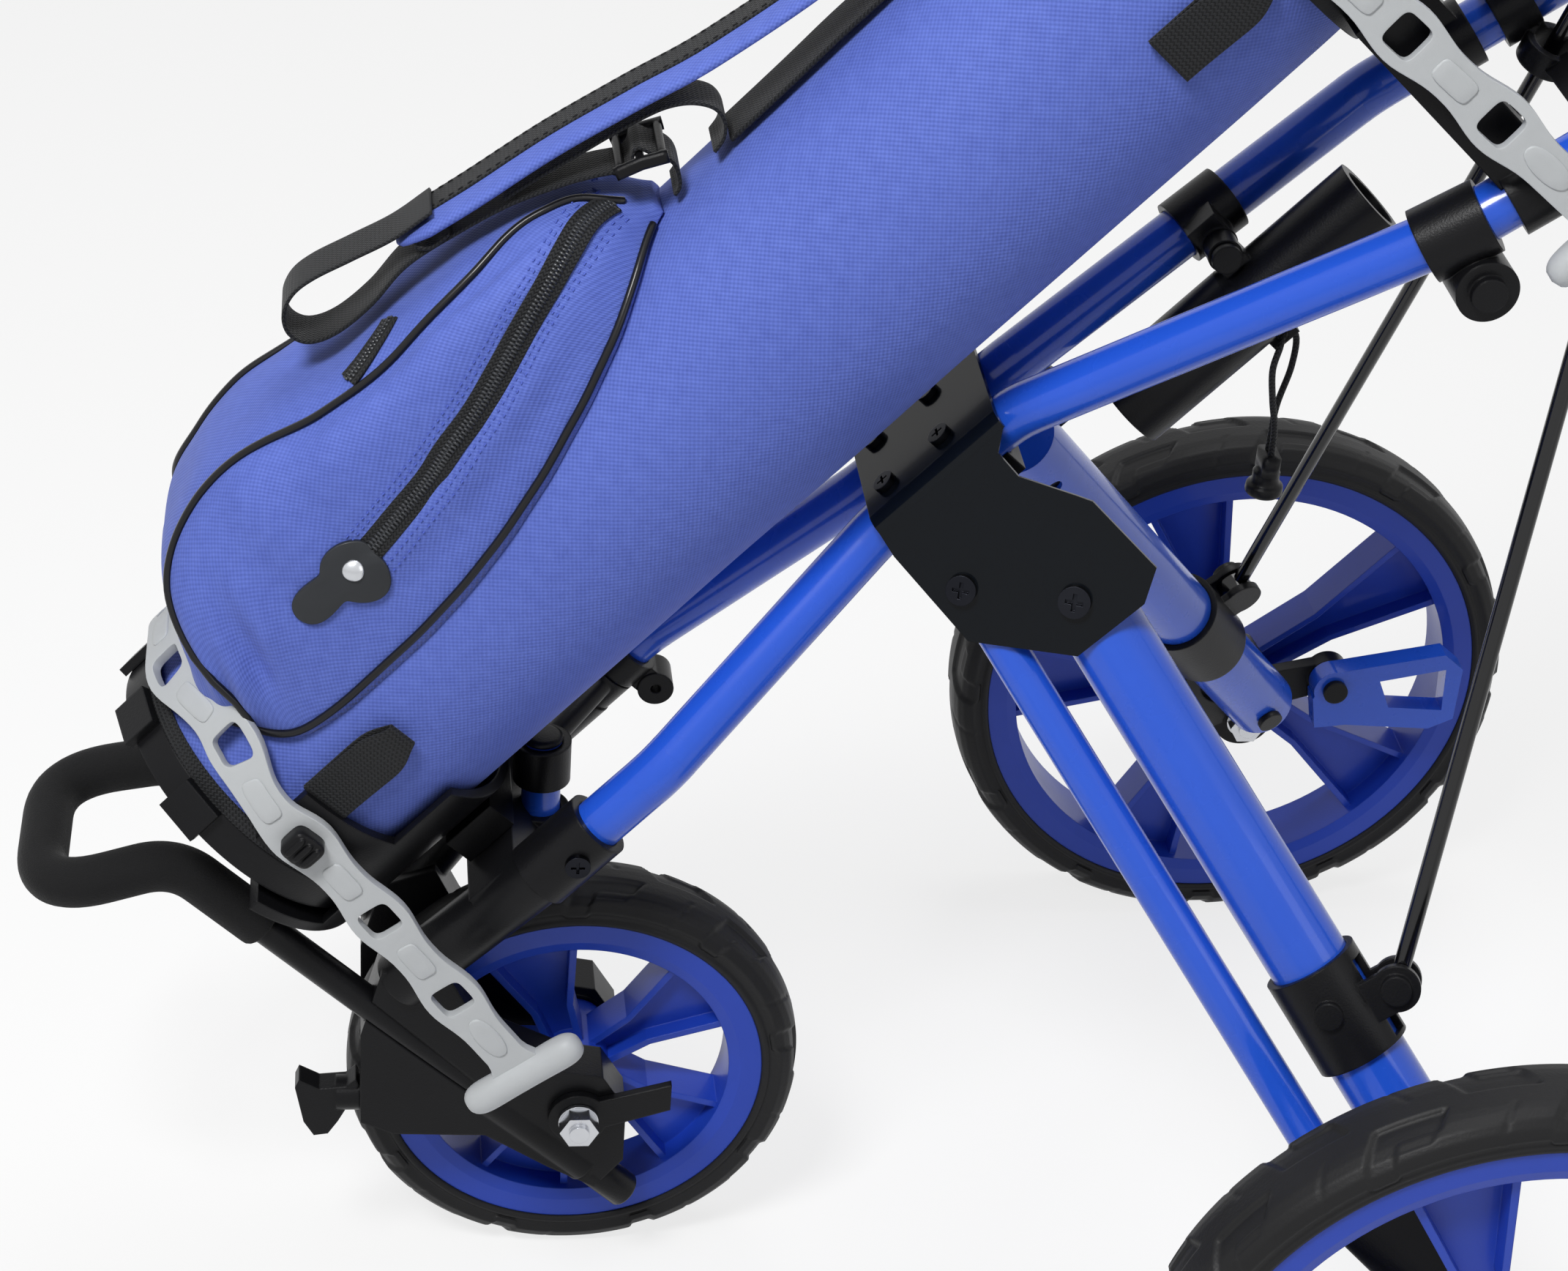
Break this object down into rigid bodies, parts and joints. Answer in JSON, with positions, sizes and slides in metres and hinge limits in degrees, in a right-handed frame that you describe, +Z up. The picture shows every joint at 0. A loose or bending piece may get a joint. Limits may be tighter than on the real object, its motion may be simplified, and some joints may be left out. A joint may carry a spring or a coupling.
{
  "type": "golf bag on push cart",
  "caption": "Golf bag strapped to a three-wheeled push cart with folding splayed legs, stay rods, parallel struts, umbrella holder and folding handle.",
  "frame": {"origin": "on the ground, midway between the front of the bumper loop and the rear of the handle grip, on the cart's middle plane", "axes": "+X forward to the front wheel, +Y to the left, +Z up"},
  "size_m": [1.0459, 0.622, 0.9266],
  "materials": {
    "frame_blue": "glossy powder coat, bright blue",
    "lever_blue": "glossy blue plastic",
    "gloss_black": "glossy black powder coat",
    "black_plastic": "satin moulded black plastic",
    "black_tube": "satin black paint",
    "dark_steel": "black-oxide screws",
    "bright_steel": "zinc-plated, bright",
    "foam": "matte closed-cell foam",
    "strap_rubber": "satin grey elastomer",
    "bag_fabric": "coated woven periwinkle fabric",
    "black_webbing": "woven black webbing",
    "black_leather": "grained black leather",
    "rim_blue": "satin moulded deep-blue plastic",
    "tyre": "matte black rubber"
  },
  "bodies": {
    "cart": {"lower_tube_left": "frame_blue", "lower_tube_right": "frame_blue", "upper_tube_left": "frame_blue", "upper_tube_right": "frame_blue", "centre_bracket": "gloss_black", "bracket_spacer": "black_plastic", "frame_screws": "dark_steel", "front_fork": "black_plastic", "centre_post": "frame_blue", "post_collar": "black_plastic", "tube_clip": "black_plastic", "bag_cradle": "black_plastic", "front_loop": "black_tube", "loop_foam": "foam", "front_axle": "bright_steel", "clamp_left": "black_plastic", "clamp_right": "black_plastic", "upper_cradle": "black_plastic", "rod_guide": "black_plastic", "handle_hubs": "black_plastic", "lower_strap": "strap_rubber", "upper_strap": "strap_rubber", "bag_body": "bag_fabric", "bag_base": "black_plastic", "bag_trim": "black_webbing", "bag_top": "black_webbing", "pocket": "bag_fabric", "pocket_zip": "black_webbing", "zip_patch": "black_leather", "carry_strap": "bag_fabric", "strap_webbing": "black_webbing", "bag_webbing": "black_webbing", "tri_glide": "black_plastic"},
    "tracking": {"tracking_lever": "black_plastic"},
    "knob": {"wing_knob": "black_plastic"},
    "umbrella": {"umbrella_holder": "black_plastic", "bungee_cord": "black_webbing", "bungee_toggle": "black_plastic"},
    "leg_left": {"left_leg": "frame_blue", "left_leg_clip": "black_plastic"},
    "leg_right": {"right_leg": "frame_blue", "right_leg_clip": "black_plastic"},
    "strut_left": {"left_strut": "frame_blue"},
    "strut_right": {"right_strut": "frame_blue"},
    "knuckle_left": {"left_wheel_bracket": "black_plastic", "left_axle": "bright_steel"},
    "knuckle_right": {"right_wheel_bracket": "black_plastic", "right_axle": "bright_steel"},
    "brake": {"brake_lever": "lever_blue"},
    "rod_left": {"left_rod": "black_tube"},
    "rod_right": {"right_rod": "black_tube"},
    "front_wheel": {"front_rim": "rim_blue", "front_tyre": "tyre"},
    "left_wheel": {"left_rim": "rim_blue", "left_tyre": "tyre"},
    "right_wheel": {"right_rim": "rim_blue", "right_tyre": "tyre"},
    "handle": {"handle_tube": "frame_blue", "handle_grip": "foam"}
  },
  "joints": [
    {"name": "front_wheel_spin", "type": "hinge", "parent": "cart", "child": "front_wheel", "pos_m": [0.25295, 0, 0.115], "axis": [0, 1, 0], "continuous": true},
    {"name": "left_leg_fold", "type": "hinge", "parent": "cart", "child": "leg_left", "pos_m": [0.03519, 0.05962, 0.43323], "axis": [-0.3347, -0.891, -0.3067], "range_deg": [0, 60]},
    {"name": "right_leg_fold", "type": "hinge", "parent": "cart", "child": "leg_right", "pos_m": [0.03519, -0.05962, 0.43323], "axis": [0.3347, -0.891, 0.3067], "range_deg": [0, 60]},
    {"name": "left_strut_fold", "type": "hinge", "parent": "cart", "child": "strut_left", "pos_m": [0.087, 0.05129, 0.43188], "axis": [-0.3347, -0.891, -0.3067], "range_deg": [0, 60]},
    {"name": "right_strut_fold", "type": "hinge", "parent": "cart", "child": "strut_right", "pos_m": [0.087, -0.05129, 0.43188], "axis": [0.3347, -0.891, 0.3067], "range_deg": [0, 60]},
    {"name": "left_knuckle_level", "type": "hinge", "parent": "leg_left", "child": "knuckle_left", "pos_m": [-0.13995, 0.2068, 0.19679], "axis": [-0.3347, -0.891, -0.3067], "range_deg": [-60, 0]},
    {"name": "right_knuckle_level", "type": "hinge", "parent": "leg_right", "child": "knuckle_right", "pos_m": [-0.13995, -0.2068, 0.19679], "axis": [0.3347, -0.891, 0.3067], "range_deg": [-60, 0]},
    {"name": "left_wheel_spin", "type": "hinge", "parent": "knuckle_left", "child": "left_wheel", "pos_m": [-0.14495, 0.283, 0.163], "axis": [0, 1, 0], "continuous": true},
    {"name": "right_wheel_spin", "type": "hinge", "parent": "knuckle_right", "child": "right_wheel", "pos_m": [-0.14495, -0.283, 0.163], "axis": [0, 1, 0], "continuous": true},
    {"name": "left_rod_swing", "type": "hinge", "parent": "leg_left", "child": "rod_left", "pos_m": [-0.10828, 0.16936, 0.29057], "axis": [0.3247, 0.883, 0.339], "range_deg": [0, 35.8]},
    {"name": "right_rod_swing", "type": "hinge", "parent": "leg_right", "child": "rod_right", "pos_m": [-0.10828, -0.16936, 0.29057], "axis": [-0.3247, 0.883, -0.339], "range_deg": [0, 35.8]},
    {"name": "brake_press", "type": "hinge", "parent": "knuckle_right", "child": "brake", "pos_m": [-0.19595, -0.243, 0.183], "axis": [0, -1, 0], "range_deg": [0, 25]},
    {"name": "handle_fold", "type": "hinge", "parent": "cart", "child": "handle", "pos_m": [-0.23884, 0, 0.7206], "axis": [0, 1, 0], "range_deg": [0, 100]},
    {"name": "tracking_adjust", "type": "hinge", "parent": "cart", "child": "tracking", "pos_m": [0.25295, 0.047, 0.115], "axis": [0, 1, 0], "range_deg": [-12, 12]},
    {"name": "knob_turn", "type": "hinge", "parent": "cart", "child": "knob", "pos_m": [0.36095, 0.035, 0.122], "axis": [1, 0, 0], "continuous": true},
    {"name": "umbrella_tilt", "type": "hinge", "parent": "cart", "child": "umbrella", "pos_m": [-0.02888, -0.0243, 0.56713], "axis": [0, -1, 0], "range_deg": [0, 10]}
  ],
  "couplings": [
    {"joint": "right_leg_fold", "follows": "left_leg_fold", "ratio": 1},
    {"joint": "left_strut_fold", "follows": "left_leg_fold", "ratio": 1},
    {"joint": "right_strut_fold", "follows": "left_leg_fold", "ratio": 1},
    {"joint": "left_knuckle_level", "follows": "left_leg_fold", "ratio": -1},
    {"joint": "right_knuckle_level", "follows": "left_leg_fold", "ratio": -1},
    {"joint": "left_rod_swing", "follows": "left_leg_fold", "ratio": 0.59642},
    {"joint": "right_rod_swing", "follows": "left_leg_fold", "ratio": 0.59642}
  ]
}
